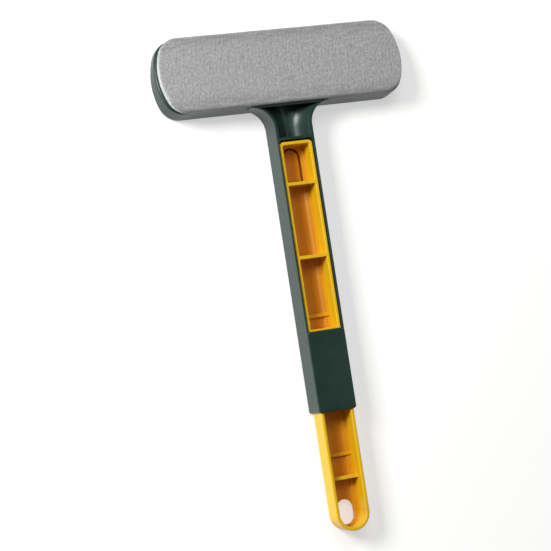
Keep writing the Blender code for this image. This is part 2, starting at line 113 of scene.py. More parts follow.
PAD_LOW_Y = PAD_CENTRE[1] - PAD_HEIGHT / 2 * cos(HEAD_TILT)

# Neck
NECK_FILLET = 12.5 * MM
NECK_RIM = 1.6 * MM
NECK_BAR = 1.6 * MM
DISH_DEPTH = 9.0 * MM
FLARE_TOP = PAD_LOW_Y - 1.2 * MM
DISH_TOP = FLARE_TOP - 0.4 * MM

# Grip
GRIP_HALF = GRIP_HIGH[0]
GRIP_WALL = 2.0 * MM
GRIP_BACK = GRIP_LOW[2]
GRIP_RIM = GRIP_HIGH[2]
GRIP_CORNER = 2.3 * MM
GRIP_ROUND = 0.6 * MM
LEDGE_Z = GRIP_BACK + 2.2 * MM
WEB_Z = GRIP_BACK + 1.2 * MM
TROUGH_HALF = 5.8 * MM
TROUGH_CHAMFER = 1.3 * MM
# how far above the ledges the painted shade inside the grip fades out
WEB_SHADE_RISE = 3.0 * MM
RIB_HALF = 1.0 * MM
FULL_RIBS = 4
FIRST_RIB = 23.9 * MM  # below the grip's top
RIB_PITCH = 41.6 * MM
UPPER_LOW_RIB = 98.5 * MM  # below the grip's top
LOWER_LOW_RIB = 42.8 * MM  # above the grip's lower end
LOW_RIB_HEIGHT = 1.0 * MM
LAST_RIB = 29.8 * MM  # above the grip's lower end
LAST_RIB_HEIGHT = 6.0 * MM
HOLE_HALF = 5.0 * MM
HOLE_HEIGHT = 14.0 * MM
HOLE_ROUND = 0.4 * MM
HOLE_Y = GRIP_LOW[1] + 10.5 * MM

# Latch tongue and its peg
TONGUE_HALF = TONGUE_HIGH[0]
SLIT = 1.0 * MM
PEG_RADIUS = 2.2 * MM
PEG_SIDE_GAP = 0.6 * MM
GROOVE_DEPTH = 0.9 * MM
PEG_Y = TONGUE_HIGH[1] - 6.4 * MM
TRAVEL = 92.0 * MM
CLICK_RADIUS = 3.2 * MM
CLICK_STOPS = 3

# Plate screws and hook tapes
SCREW_FROM_END = 14.4 * MM
SCREW_FROM_SIDE = 12.0 * MM
SCREW_HOLE = 1.5 * MM
SCREW_HEAD = 2.5 * MM
SEAT_RADIUS = 2.8 * MM
SEAT_DEPTH = 0.8 * MM
THREAD_PITCH = 0.9 * MM
THREAD_ROOT = 0.85 * MM
THREAD_CREST = 1.2 * MM
TAPE_HALF = 14.0 * MM
TAPE_SHEET = 0.25 * MM
HOOK_ACROSS = 1.25 * MM
HOOK_ALONG = 1.4 * MM
HOOK_STALK = 0.26 * MM
HOOK_BEND = 0.13 * MM
HOOK_RADII = (0.09 * MM, 0.05 * MM)

# Surfaces of the pad
TUFT_PITCH = 1.05 * MM
TUFT_HEIGHT = 0.09 * MM
WAVES = 14
WAVE_LENGTH = 2.6 * MM
WAVE_HEIGHT = 0.05 * MM
CROWN = 0.3 * MM
TUCK_FADE = 6.0 * MM
WALE = 1.5 * MM
LOOP_HEIGHT = 0.06 * MM
TRIAL_SCALE = 20.0
TRIAL_FRAMES = 20
TRIAL_GRID = (121, 37)


# Outlines: anticlockwise rows of points in a plane


def arc(centre, radius, start, end, steps):
    """Points at even angles on a circle."""
    turn = np.linspace(start, end, steps + 1)
    return np.stack([centre[0] + radius * np.cos(turn), centre[1] + radius * np.sin(turn)], 1)


def both_sides(right):
    """A right half, from its lower to its upper end, then its mirror image."""
    left = right[::-1] * (-1, 1)
    return np.concatenate([right, left[np.abs(left[:, 0]) > 1e-9]])


def inset(outline, distance):
    """Every side moved in by one distance: each point moves along the line that halves its corner."""
    before = outline - np.roll(outline, 1, 0)
    after = np.roll(outline, -1, 0) - outline
    before /= np.linalg.norm(before, axis=1)[:, None]
    after /= np.linalg.norm(after, axis=1)[:, None]
    along = before + after
    along /= np.linalg.norm(along, axis=1)[:, None]
    inward = np.stack([-along[:, 1], along[:, 0]], 1)
    return outline + inward * (distance / (along * after).sum(1))[:, None]


def head_outline(length, height):
    """Straight long sides, shallow arcs for ends and rounded corners, about its own middle."""
    end_x = length / 2 - END_RADIUS
    corner_y = height / 2 - CORNER_RADIUS
    corner_x = end_x + sqrt((END_RADIUS - CORNER_RADIUS) ** 2 - corner_y**2)
    meet = atan2(corner_y, corner_x - end_x)
    low = arc((corner_x, -corner_y), CORNER_RADIUS, -pi / 2, -meet, 14)
    end = arc((end_x, 0), END_RADIUS, -meet, meet, 28)
    high = arc((corner_x, corner_y), CORNER_RADIUS, meet, pi / 2, 14)
    side = np.linspace(0, low[0, 0], 25)[:-1]
    bottom = np.stack([side, np.full(len(side), -height / 2)], 1)
    top = np.stack([side[::-1], np.full(len(side), height / 2)], 1)
    return both_sides(np.concatenate([bottom, low[:-1], end, high[1:], top]))


def circle_outline(centre, radius, steps=48):
    """A full circle."""
    return arc(centre, radius, 0, 2 * pi, steps)[:-1]


def slot_outline(half_width, low, high, steps=16):
    """A slot with fully round ends."""
    lower = arc((0, low + half_width), half_width, -pi / 2, 0, steps)
    upper = arc((0, high - half_width), half_width, 0, pi / 2, steps)
    return both_sides(np.concatenate([lower, upper]))


def arch_outline(half_width, low, high, steps=16):
    """A square foot and a half-round top."""
    top = arc((0, high - half_width), half_width, 0, pi / 2, steps)
    return both_sides(np.concatenate([[(half_width, low)], top]))


def block_outline(half_width, low, high, corner, steps=6):
    """A rectangle with rounded corners."""
    lower = arc((half_width - corner, low + corner), corner, -pi / 2, 0, steps)
    upper = arc((half_width - corner, high - corner), corner, 0, pi / 2, steps)
    return both_sides(np.concatenate([lower, upper]))


def handle_outline():
    """The handle from the collar's lower end, flaring through its fillets into the tray."""
    corner = (HANDLE_HALF - COLLAR_CORNER, COLLAR_LOW + COLLAR_CORNER)
    low = arc(corner, COLLAR_CORNER, -pi / 2, 0, 8)
    fillet = (HANDLE_HALF + NECK_FILLET, FLARE_TOP - NECK_FILLET)
    flare = arc(fillet, NECK_FILLET, pi, pi / 2, 36)
    into_tray = [(HANDLE_HALF + NECK_FILLET, FLARE_TOP + 6 * MM)]
    return both_sides(np.concatenate([low, flare, into_tray]))


def grip_outline(shrunk, corner):
    """The grip's outline shrunk all round: small corners at the top, a full round at its low end."""
    half = GRIP_HALF - shrunk
    low = arc((0, GRIP_LOW[1] + GRIP_HALF), half, -pi / 2, 0, 36)
    high = arc((half - corner, GRIP_HIGH[1] - shrunk - corner), corner, 0, pi / 2, 10)
    return both_sides(np.concatenate([low, high]))


# Profiles: (inset, height) pairs, from the lowest up


def rolled_up(radius, low, draft=0.0, steps=6):
    """A quarter round from a flat underside into a wall."""
    turn = np.linspace(0, pi / 2, steps + 1)
    return [(draft + radius * (1 - sin(a)), low + radius * (1 - cos(a))) for a in turn]


def rolled_in(radius, high, steps=5):
    """A quarter round from a wall onto a flat top."""
    turn = np.linspace(0, pi / 2, steps + 1)
    return [(radius * (1 - cos(a)), high - radius * (1 - sin(a))) for a in turn]


def flared_out(radius, high, steps=5):
    """A cutter's wall that flares outwards below a flat top, and so rounds that top's edge."""
    turn = np.linspace(0, pi / 2 * 0.96, steps + 1)
    flare = [(-radius * (1 - cos(a)), high - radius * (1 - sin(a))) for a in turn]
    return flare + [(flare[-1][0], high + 2 * MM)]


def flared_down(radius, low, steps=5):
    """The same below: the cutter is widest under the face that it leaves rounded."""
    turn = np.linspace(pi / 2 * 0.96, 0, steps + 1)
    flare = [(-radius * (1 - cos(a)), low + radius * (1 - sin(a))) for a in turn]
    return [(flare[0][0], low - 2 * MM)] + flare


# Meshes


def new_object(name, points, faces):
    """An object whose mesh has these points and these faces, which are lists of point numbers."""
    mesh = bpy.data.meshes.new(name)
    mesh.from_pydata(points.tolist(), [], faces)
    made = bpy.data.objects.new(name, mesh)
    bpy.context.scene.collection.objects.link(made)
    return made


def wrapped(rows, around):
    """Faces that join each ring of points to the next one."""
    row = np.arange(rows - 1)[:, None] * around
    start, after = row + np.arange(around), row + (np.arange(around) + 1) % around
    return np.stack([start, after, after + around, start + around], 2).reshape(-1, 4)


def between(cell):
    """Faces between the neighbours in a grid of point numbers."""
    corners = [cell[:-1, :-1], cell[:-1, 1:], cell[1:, 1:], cell[1:, :-1]]
    return np.stack(corners, 2).reshape(-1, 4)


def skin(name, rings):
    """A closed surface through rings of points, the first facing down and the last up."""
    rings = np.asarray(rings, float)
    rows, around = rings.shape[:2]
    caps = [list(range(around))[::-1], list(range((rows - 1) * around, rows * around))]
    return new_object(name, rings.reshape(-1, 3), wrapped(rows, around).tolist() + caps)


def prism(name, outline, profile):
    """An outline carried up through (inset, height) pairs."""
    rings = []
    for by, height in profile:
        flat = inset(outline, by)
        rings.append(np.column_stack([flat, np.full(len(flat), height)]))
    return skin(name, rings)


def head_space(points):
    """From (along the head, up the pad from its middle, out of its face) to the model's frame."""
    points = np.asarray(points, float)
    across = points[..., :1] * (1, 0, 0)
    return PAD_CENTRE + across + points[..., 1:2] * PAD_UP + points[..., 2:3] * PAD_OUT


def head_prism(name, outline, profile):
    """The same on the pad's plane: its heights run out along the pad's normal."""
    rings = []
    for by, out in profile:
        flat = inset(outline, by)
        rings.append(head_space(np.column_stack([flat, np.full(len(flat), out)])))
    return skin(name, rings)


def combined(target, tools, operation):
    """The target with the tools cut from it or joined to it. The tools are used up."""
    for tool in tools:
        step = target.modifiers.new(tool.name, "BOOLEAN")
        step.operation = operation
        step.solver = "EXACT"
        step.object = tool
    baked = target.evaluated_get(bpy.context.evaluated_depsgraph_get())
    mesh = bpy.data.meshes.new_from_object(baked)
    target.modifiers.clear()
    target.data = mesh
    for tool in tools:
        bpy.data.objects.remove(tool, do_unlink=True)
    return target


def smoothed(made, below=32):
    """Smooth across shallow edges, with flat faces kept flat."""
    made.data.shade_smooth()
    made.data.set_sharp_from_angle(angle=radians(below))
    weighted = made.modifiers.new("flat_faces", "WEIGHTED_NORMAL")
    weighted.keep_sharp = True
    weighted.weight = 50
    return made


# Materials


def linear(code):
    """An sRGB hex colour in linear values, with full alpha."""
    value = np.array([int(code[i : i + 2], 16) for i in (1, 3, 5)]) / 255
    return (*np.where(value <= 0.04045, value / 12.92, ((value + 0.055) / 1.055) ** 2.4), 1.0)


def feed(tree, made, numbered=(), **named):
    """Gives a node's inputs, by number or by name, a value or a link from an output socket."""
    for key, source in [*dict(numbered).items(), *named.items()]:
        socket = made.inputs[key if isinstance(key, int) else key.replace("_", " ")]
        if isinstance(source, bpy.types.NodeSocket):
            tree.links.new(source, socket)
        else:
            socket.default_value = source


def node(tree, kind, settings=(), numbered=(), **named):
    """Adds a node: settings are its own properties, and its inputs come by number or by name."""
    made = tree.nodes.new(kind)
    for key, value in dict(settings).items():
        setattr(made, key, value)
    feed(tree, made, numbered, **named)
    return made


def blank_material(name, **values):
    """A named material, its node tree and its shader, with values for the shader's own inputs."""
    made = bpy.data.materials.new(name)
    made.use_nodes = True
    shader = made.node_tree.nodes["Principled BSDF"]
    feed(made.node_tree, shader, **values)
    return made, made.node_tree, shader


def graded(tree, pattern, low, high, start=0.35, end=0.65):
    """A colour that goes evenly from low to high as a pattern goes from start to end."""
    share = node(tree, "ShaderNodeMapRange", Value=pattern, From_Min=start, From_Max=end)
    ends = {0: share.outputs["Result"], 6: linear(low), 7: linear(high)}
    return node(tree, "ShaderNodeMix", {"data_type": "RGBA"}, ends).outputs[2]


def painted_web_shade(tree, place, colour, web_shade):
    """Paints shade into a colour inside the grip's walls: darker and more orange, for the hollow's
    shade and the light bounced between its yellow walls. The share of painted shade falls evenly
    with height, from one on the web to nothing above the ledges."""
    apart = node(tree, "ShaderNodeSeparateXYZ", Vector=place)
    height = node(
        tree,
        "ShaderNodeMapRange",
        Value=apart.outputs["Z"],
        From_Min=WEB_Z,
        From_Max=LEDGE_Z + WEB_SHADE_RISE,
        To_Min=1.0,
        To_Max=0.0,
    )
    out = node(tree, "ShaderNodeMath", {"operation": "ABSOLUTE"}, {0: apart.outputs["X"]})
    middle_of_wall = GRIP_HALF - GRIP_WALL / 2
    inside = node(
        tree,
        "ShaderNodeMath",
        {"operation": "LESS_THAN"},
        {0: out.outputs[0], 1: middle_of_wall},
    )
    share = node(
        tree,
        "ShaderNodeMath",
        {"operation": "MULTIPLY"},
        {0: height.outputs["Result"], 1: inside.outputs[0]},
    )
    ends = {0: share.outputs[0], 6: colour, 7: linear(web_shade)}
    return node(tree, "ShaderNodeMix", {"data_type": "RGBA"}, ends).outputs[2]


def moulded_plastic(name, dull, bright, roughness, shine, web_shade=None):
    """Polypropylene from a spark-eroded mould: a fine dull grain, with slow drifts in gloss, 18 mm
    long, from the mould's flow. The real grain is finer than the 0.35 mm drawn here, which is as
    coarse as it needs to show. Given a web shade, painted shade darkens the colour inside the
    grip's walls and turns it orange towards the web, for the hollow's shade and the light bounced
    between its yellow walls."""
    made, tree, shader = blank_material(name, IOR=1.49, Specular_IOR_Level=shine)
    place = node(tree, "ShaderNodeTexCoord").outputs["Object"]
    flow = node(tree, "ShaderNodeTexNoise", Vector=place, Scale=1 / (18 * MM), Detail=3.0)
    grain = node(tree, "ShaderNodeTexNoise", Vector=place, Scale=1 / (0.35 * MM), Detail=2.0)
    colour = graded(tree, flow.outputs["Fac"], dull, bright)
    # painted shade inside the grip's hollow: darker and more orange towards the web
    if web_shade:
        colour = painted_web_shade(tree, place, colour, web_shade)
    gloss = node(
        tree,
        "ShaderNodeMapRange",
        Value=flow.outputs["Fac"],
        From_Min=0.3,
        From_Max=0.7,
        To_Min=roughness - 0.04,
        To_Max=roughness + 0.05,
    )
    height = grain.outputs["Fac"]
    bump = node(tree, "ShaderNodeBump", Height=height, Strength=0.12, Distance=0.03 * MM)
    feed(tree, shader, Base_Color=colour, Roughness=gloss.outputs["Result"])
    feed(tree, shader, Normal=bump.outputs["Normal"])
    return made


def dress(made, look, slot, body, *stands_for):
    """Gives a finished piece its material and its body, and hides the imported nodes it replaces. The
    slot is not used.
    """
    made.data.materials.clear()
    made.data.materials.append(look)
    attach(made, body)
    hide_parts(*stands_for)
    return made


# The green moulding


def drop_to(v, height):
    """How far out along the pad's normal a point lies that is v up the pad and this high above the
    flat back: the height less the middle's, plus v times the tilt's sine, over its cosine."""
    return (height - PAD_CENTRE[2] + v * sin(HEAD_TILT)) / cos(HEAD_TILT)


def tray_rings(outline, heights, front):
    """Rings at heights above the flat back, then rings in planes along the pad's face. Each is
    inset by its own amount."""
    rings = []
    for by, height in heights:
        flat = inset(outline, by)
        rings.append(head_space(np.column_stack([flat, drop_to(flat[:, 1], height)])))
    for by, out in front:
        flat = inset(outline, by)
        rings.append(head_space(np.column_stack([flat, np.full(len(flat), out)])))
    return rings


def handle_moulding():
    """Handle, tray and collar joined, then hollowed by the pad's room, the dish and the channel."""
    sides = rolled_up(BACK_ROUND, 0.0) + rolled_in(RIM_ROUND, RIM_Z)
    body = prism("wiper_handle", handle_outline(), sides)

    tray = head_outline(TRAY_LENGTH, TRAY_HEIGHT)
    under = rolled_up(TRAY_ROUND, 0.0, steps=9)
    over = rolled_in(TRAY_RIM_ROUND, TRAY_FRONT)
    shell = skin("tray_shell", tray_rings(tray, under, over))
    collar = block_outline(HANDLE_HALF, COLLAR_LOW, COLLAR_HIGH, COLLAR_CORNER, steps=8)
    hidden = [(0.8 * MM, RIM_Z - 2 * MM), (0.8 * MM, RIM_Z - 1 * MM)]
    bridge = prism("collar_bridge", collar, hidden + rolled_in(COLLAR_ROUND, COLLAR_Z, steps=7))
    body = combined(body, [shell, bridge], "UNION")

    room = block_outline(TRAY_LENGTH, -PAD_HEIGHT / 2 - PAD_ROOM, 2 * PAD_HEIGHT, 1 * MM)
    pad_room = head_prism("pad_room", room, [(0, TRAY_FRONT), (0, TRAY_FRONT + 40 * MM)])
    lip_low, lip_high = (-LIP, TRAY_FRONT - 0.02 * MM), (-LIP, TRAY_FRONT + 2 * MM)
    mouth = [(0, TRAY_FRONT - 0.4 * MM), lip_low, lip_high]
    hollow = skin("tray_hollow", tray_rings(inset(tray, TRAY_WALL), [(0, TRAY_FLOOR)], mouth))
    body = combined(body, [pad_room, hollow, neck_dish()], "DIFFERENCE")
    return combined(body, channel_cutters(), "DIFFERENCE")


def channel_cutters():
    """The tunnel through the collar, the window above it, the peg's groove and its click windows."""
    half = HANDLE_HALF - SIDE_WALL
    top = arc((half - GRIP_CORNER, WINDOW_HIGH - GRIP_CORNER), GRIP_CORNER, 0, pi / 2, 12)
    tunnel_outline = both_sides(np.concatenate([[(half, COLLAR_LOW - 4 * MM)], top]))
    window_outline = both_sides(np.concatenate([[(half, COLLAR_HIGH)], top]))
    tunnel = prism("tunnel", tunnel_outline, [(0, BACK_WALL), (0, COLLAR_Z - COLLAR_WALL)])
    open_front = [(0, BACK_WALL + 2 * MM)] + flared_out(WINDOW_ROUND, RIM_Z)
    window = prism("window", window_outline, open_front)
    reach = PEG_RADIUS + PEG_SIDE_GAP
    groove = prism(
        "peg_groove",
        slot_outline(reach, PEG_Y - TRAVEL - reach, PEG_Y + reach),
        [(0, BACK_WALL - GROOVE_DEPTH), (0, BACK_WALL + 1 * MM)],
    )
    through = flared_down(WINDOW_ROUND, 0.0) + [(0, BACK_WALL + 1 * MM)]
    windows = [
        prism(f"click_window_{i}", circle_outline((0, y), CLICK_RADIUS), through)
        for i, y in enumerate(PEG_Y - TRAVEL * np.linspace(0, 1, CLICK_STOPS))
    ]
    return [tunnel, window, groove, *windows]


def neck_dish():
    """A hollow whose depth falls from its middle to nothing at the rims, as one minus the square of
    the way out."""
    along = np.linspace(DISH_TOP, WINDOW_HIGH + NECK_BAR, 40)
    rise = np.maximum(along - (FLARE_TOP - NECK_FILLET), 0)
    flare = NECK_FILLET - np.sqrt(NECK_FILLET**2 - rise**2)
    half = HANDLE_HALF + flare - NECK_RIM
    out = np.linspace(-1, 1, 41)
    rings = []
    for y, wide in zip(along, half):
        dip = RIM_Z - DISH_DEPTH * (1 - out**2)
        low = np.column_stack([wide * out, np.full(len(out), y), dip])
        lid = [(wide, y, RIM_Z + 2 * MM), (-wide, y, RIM_Z + 2 * MM)]
        rings.append(np.concatenate([low, lid]))
    return skin("neck_dish", rings)


# The yellow grip and its latch tongue


def grip_moulding():
    """A tray with rounded rims: hollow between its walls, with a trough down its floor, ribs across
    it, and the hang hole and the room for the tongue through it."""
    outer = rolled_up(0.8 * MM, GRIP_BACK, draft=0.4 * MM) + rolled_in(GRIP_ROUND, GRIP_RIM)
    grip = prism("wiper_grip", grip_outline(0, GRIP_CORNER), outer)

    foot = rolled_up(0.5 * MM, LEDGE_Z, draft=0.2 * MM, steps=4)
    inner = foot + flared_out(GRIP_ROUND, GRIP_RIM)
    hollow = prism("grip_hollow", grip_outline(GRIP_WALL, 1 * MM), inner)
    trough_outline = slot_outline(TROUGH_HALF, HOLE_Y - TROUGH_HALF, TONGUE_HIGH[1] + SLIT)
    slope = [(TROUGH_CHAMFER, WEB_Z), (0, LEDGE_Z), (0, LEDGE_Z + 1 * MM)]
    trough = prism("web_trough", trough_outline, slope)
    grip = combined(grip, [hollow, trough], "DIFFERENCE")
    grip = combined(grip, rib_bars(), "UNION")

    hole = slot_outline(HOLE_HALF, HOLE_Y - HOLE_HEIGHT / 2, HOLE_Y + HOLE_HEIGHT / 2, steps=24)
    edges = flared_down(HOLE_ROUND, GRIP_BACK) + flared_out(HOLE_ROUND, LEDGE_Z)
    hang_hole = prism("hang_hole", hole, edges)
    low, high = TONGUE_LOW[1] - GAP, TONGUE_HIGH[1] + SLIT
    slit = arch_outline(TONGUE_HALF + SLIT, low, high, steps=24)
    tongue_room = prism("tongue_room", slit, [(0, GRIP_BACK - 2 * MM), (0, LEDGE_Z + 2 * MM)])
    return combined(grip, [hang_hole, tongue_room], "DIFFERENCE")


def rib_bars():
    """One rib part of the way up the wall, two that just stand up, then four as high as the rim."""
    ribs = [(GRIP_LOW[1] + LAST_RIB, LEDGE_Z + LAST_RIB_HEIGHT)]
    for y in (GRIP_HIGH[1] - UPPER_LOW_RIB, GRIP_LOW[1] + LOWER_LOW_RIB):
        ribs.append((y, LEDGE_Z + LOW_RIB_HEIGHT))
    first = GRIP_HIGH[1] - FIRST_RIB
    ribs += [(first - RIB_PITCH * i, GRIP_RIM) for i in range(FULL_RIBS)]
    half = GRIP_HALF - GRIP_WALL + 0.5 * MM
    bars = []
    for i, (y, top) in enumerate(ribs):
        bar = block_outline(half, y - RIB_HALF, y + RIB_HALF, 0.5 * MM, steps=3)
        bars.append(prism(f"rib_{i}", bar, [(0, WEB_Z - 0.5 * MM)] + rolled_in(0.35 * MM, top)))
    return bars


def latch_tongue():
    """A flat tongue with softened edges and a round tip, and a tapered peg on its back."""
    outline = arch_outline(TONGUE_HALF, TONGUE_LOW[1], TONGUE_HIGH[1], steps=24)
    profile = rolled_up(0.2 * MM, GRIP_BACK, steps=3) + rolled_in(0.3 * MM, WEB_Z, steps=4)
    tongue = prism("spring_tongue", outline, profile)
    low = TONGUE_LOW[2]
    tip = [(0.95 * MM, low), (0.65 * MM, low + 0.06 * MM), (0.5 * MM, low + 0.25 * MM)]
    side = [(0, low + 0.9 * MM), (0, GRIP_BACK + 0.5 * MM)]
    peg = prism("peg", circle_outline((0, PEG_Y), PEG_RADIUS), tip + side)
    return combined(tongue, [peg], "UNION")


# The plate, its screws and the hook tapes


def screw_places():
    """Two screws near either end, each as its place along the head and up the pad."""
    x = TRAY_LENGTH / 2 - SCREW_FROM_END
    row = TRAY_HEIGHT / 2 - SCREW_FROM_SIDE
    return [(side * x, up * row) for up in (-1, 1) for side in (-1, 1)]


def round_cutter(name, centre, radius, low, high):
    """A cylinder along the pad's normal."""
    return head_prism(name, circle_outline(centre, radius, 32), [(0, low), (0, high)])


def closing_plate():
    """A flat plate that fits inside the tray's wall, with a stepped hole for each screw."""
    outline = inset(head_outline(TRAY_LENGTH, TRAY_HEIGHT), TRAY_WALL + GAP)
    sides = [(0, PLATE_BACK)] + rolled_in(0.3 * MM, PLATE_FRONT, steps=3)
    plate = head_prism("closing_plate", outline, sides)
    seat, above, below = PLATE_FRONT - SEAT_DEPTH, PLATE_FRONT + 1 * MM, PLATE_BACK - 1 * MM
    cuts = []
    for i, place in enumerate(screw_places()):
        cuts.append(round_cutter(f"seat_{i}", place, SEAT_RADIUS, seat, above))
        cuts.append(round_cutter(f"hole_{i}", place, SCREW_HOLE, below, PLATE_FRONT))
    return combined(plate, cuts, "DIFFERENCE")


def plate_screw(name, place):
    """Pan head over a threaded shank. The radius falls in a quarter round over the head, then
    follows the thread: a ridge that winds down the shank, its height a rounded saw-tooth of turn
    and depth."""
    turn = np.linspace(0, 2 * pi, 37)[:-1]
    low, high = screw_span()
    under = PLATE_FRONT - SEAT_DEPTH + GAP
    depth = np.linspace(0, under - low, 46)[1:]
    phase = (depth[:, None] / THREAD_PITCH + turn / (2 * pi)) % 1
    ridge = np.clip(1 - np.abs(phase - 0.5) / 0.28, 0, 1)
    taper = np.clip((under - low - depth) / (1.2 * MM), 0.08, 1)[:, None]
    shank = (THREAD_ROOT + (THREAD_CREST - THREAD_ROOT) * ridge) * taper
    over = np.linspace(0, pi / 2, 8)
    dome = SCREW_HEAD - 0.7 * MM * (1 - np.cos(over))
    dome_rise = (high - under - 0.3 * MM) * np.sin(over) + 0.3 * MM
    smooth = np.array([THREAD_ROOT, SCREW_HEAD - 0.1 * MM, SCREW_HEAD, *dome])
    radii = np.concatenate([shank[::-1], np.repeat(smooth[:, None], len(turn), 1)])
    levels = [under - depth[::-1], [under, under, under + 0.1 * MM], under + dome_rise]
    heights = np.repeat(np.concatenate(levels)[:, None], len(turn), 1)
    sides = [radii * np.cos(turn) + place[0], radii * np.sin(turn) + place[1], heights]
    screw = skin(name, head_space(np.stack(sides, 2)))
    arms = []
    for i, (long, wide) in enumerate(((1.35, 0.26), (0.26, 1.35))):
        arm = block_outline(long * MM, -wide * MM, wide * MM, 0.18 * MM, steps=2) + place
        sunk = [(0.12 * MM, high - 0.8 * MM), (0, high + 0.5 * MM)]
        arms.append(head_prism(f"recess_{i}", arm, sunk))
    return combined(screw, arms, "DIFFERENCE")


def screw_span():
    """Lowest and highest place of a screw along the pad's normal, measured from its front face."""
    mesh = frame["nodes"]["plate_screw_1"].data
    corners = np.empty(len(mesh.vertices) * 3)
    mesh.vertices.foreach_get("co", corners)
    out = (corners.reshape(-1, 3) - PAD_CENTRE) @ PAD_OUT
    return out.min(), out.max()


def one_hook():
    """A stalk whose line bends over in a half circle, as square rings that thin towards its tip."""
    bend = np.linspace(0, pi, 5)
    line_y = np.concatenate([[0.0], HOOK_BEND * (1 - np.cos(bend))])[:, None]
    line_z = np.concatenate([[0.0], HOOK_STALK + HOOK_BEND * np.sin(bend)])[:, None]
    lean = np.concatenate([[0.0], bend])[:, None]
    girth = np.linspace(0, 2 * pi, 5)[:-1]
    thick = np.linspace(*HOOK_RADII, len(lean))[:, None]
    across = thick * np.sin(girth)
    rings = [thick * np.cos(girth), line_y + across * np.cos(lean), line_z - across * np.sin(lean)]
    return np.stack(rings, 2)


def hook_rows(name, middle_x, half_x, foot):
    """A hook at each crossing of even columns and rows, turned round in every other row."""
    columns = np.arange(-half_x + 1 * MM, half_x - 0.6 * MM, HOOK_ACROSS) + middle_x
    rows = np.arange(-TAPE_HALF + 0.9 * MM, TAPE_HALF - 0.6 * MM, HOOK_ALONG)
    at_x, at_y = (grid.reshape(-1, 1) for grid in np.meshgrid(columns, rows))
    turned = np.where((np.arange(len(at_x)) // len(columns)) % 2, 1.0, -1.0)[:, None]
    hook = one_hook()
    levels, around = hook.shape[:2]
    x, y, z = hook.reshape(-1, 3).T
    points = np.stack([at_x + x * turned, at_y + y * turned, foot + z + 0 * at_x], 2)
    ends = [np.arange(around)[::-1], (levels - 1) * around + np.arange(around)]
    faces = np.concatenate([wrapped(levels, around), ends])
    shift = np.arange(len(at_x))[:, None, None] * levels * around
    all_faces = (faces + shift).reshape(-1, 4).tolist()
    return new_object(name, head_space(points).reshape(-1, 3), all_faces)


def hook_tape(name, node_name):
    """Backing tape with rows of hooks on its front."""
    low, high = (np.array(corner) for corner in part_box(node_name))
    half_x, middle_x = (high[0] - low[0]) / 2, (high[0] + low[0]) / 2
    base = PLATE_FRONT + GAP
    front = base + TAPE_SHEET
    outline = block_outline(half_x, -TAPE_HALF, TAPE_HALF, 0.8 * MM) + (middle_x, 0)
    tape = head_prism(name, outline, [(0, base), (0, front - 0.05 * MM), (0.05 * MM, front)])
    return joined(tape, [hook_rows(name + "_hooks", middle_x, half_x, front - 0.02 * MM)])


def joined(target, others):
    """One object from several."""
    pieces = [target, *others]
    with bpy.context.temp_override(active_object=target, selected_editable_objects=pieces):
        bpy.ops.object.join()
    return target


# The pad: microfibre cloth over foam over loop fabric


def row_half(outline, y):
    """Half the outline's width at each height y."""
    right = outline[outline[:, 0] >= 0]
    right = right[np.argsort(right[:, 1], kind="stable")]
    heights, first = np.unique(np.round(right[:, 1], 9), return_index=True)
    widest = np.maximum.reduceat(right[:, 0], first)
    return np.interp(y, heights, widest)


def crowded(count):
    """Places from -1 to 1 whose spacing shrinks towards both ends."""
    even = np.linspace(-1, 1, count)
    return 0.55 * even + 0.45 * np.sin(pi / 2 * even)


def pad_grid(outline, columns, rows):
    """Rows of points across the outline, crowding towards the long edges. Each row is as long as
    the outline is there, and its points crowd towards the ends the same way."""
    y = crowded(rows) * outline[:, 1].max()
    x = crowded(columns)[None, :] * row_half(outline, y)[:, None]
    return np.stack([x, np.broadcast_to(y[:, None], x.shape)], 2)


def edge_distance(points, outline):
    """Distance of each point to the outline: the least of its distances to the outline's sides."""
    along = np.roll(outline, -1, 0) - outline
    best = np.full(len(points), np.inf)
    for start, side in zip(outline, along):
        share = np.clip(((points - start) @ side) / (side @ side), 0, 1)
        best = np.minimum(best, np.linalg.norm(points - start - share[:, None] * side, axis=1))
    return best


def tufts(points, pitch, rng):
    """Pile as rounded humps: one tuft at a random place in each cell of a grid, and height falling
    with the square of the distance to the nearest tuft."""
    cell = np.floor(points / pitch).astype(int)
    low = cell.min(0) - 1
    span = cell.max(0) - low + 2
    seeds = rng.random((*span, 2))
    nearest = np.full(len(points), np.inf)
    for step_x in (-1, 0, 1):
        for step_y in (-1, 0, 1):
            there = cell + (step_x, step_y)
            index = np.clip(there - low, 0, span - 1)
            centre = (there + seeds[index[:, 0], index[:, 1]]) * pitch
            nearest = np.minimum(nearest, np.linalg.norm(points - centre, axis=1))
    return 1 - (nearest / pitch) ** 2


def swell(points, width, rng):
    """Slow random waves: a sum of cosines with random directions, lengths and phases."""
    total = np.zeros(len(points))
    for _ in range(WAVES):
        turn, phase = rng.random(2) * 2 * pi
        wave = 2 * pi / (width * (0.7 + 0.8 * rng.random()))
        total += np.cos(wave * (points @ (cos(turn), sin(turn))) + phase)
    return total / sqrt(WAVES)


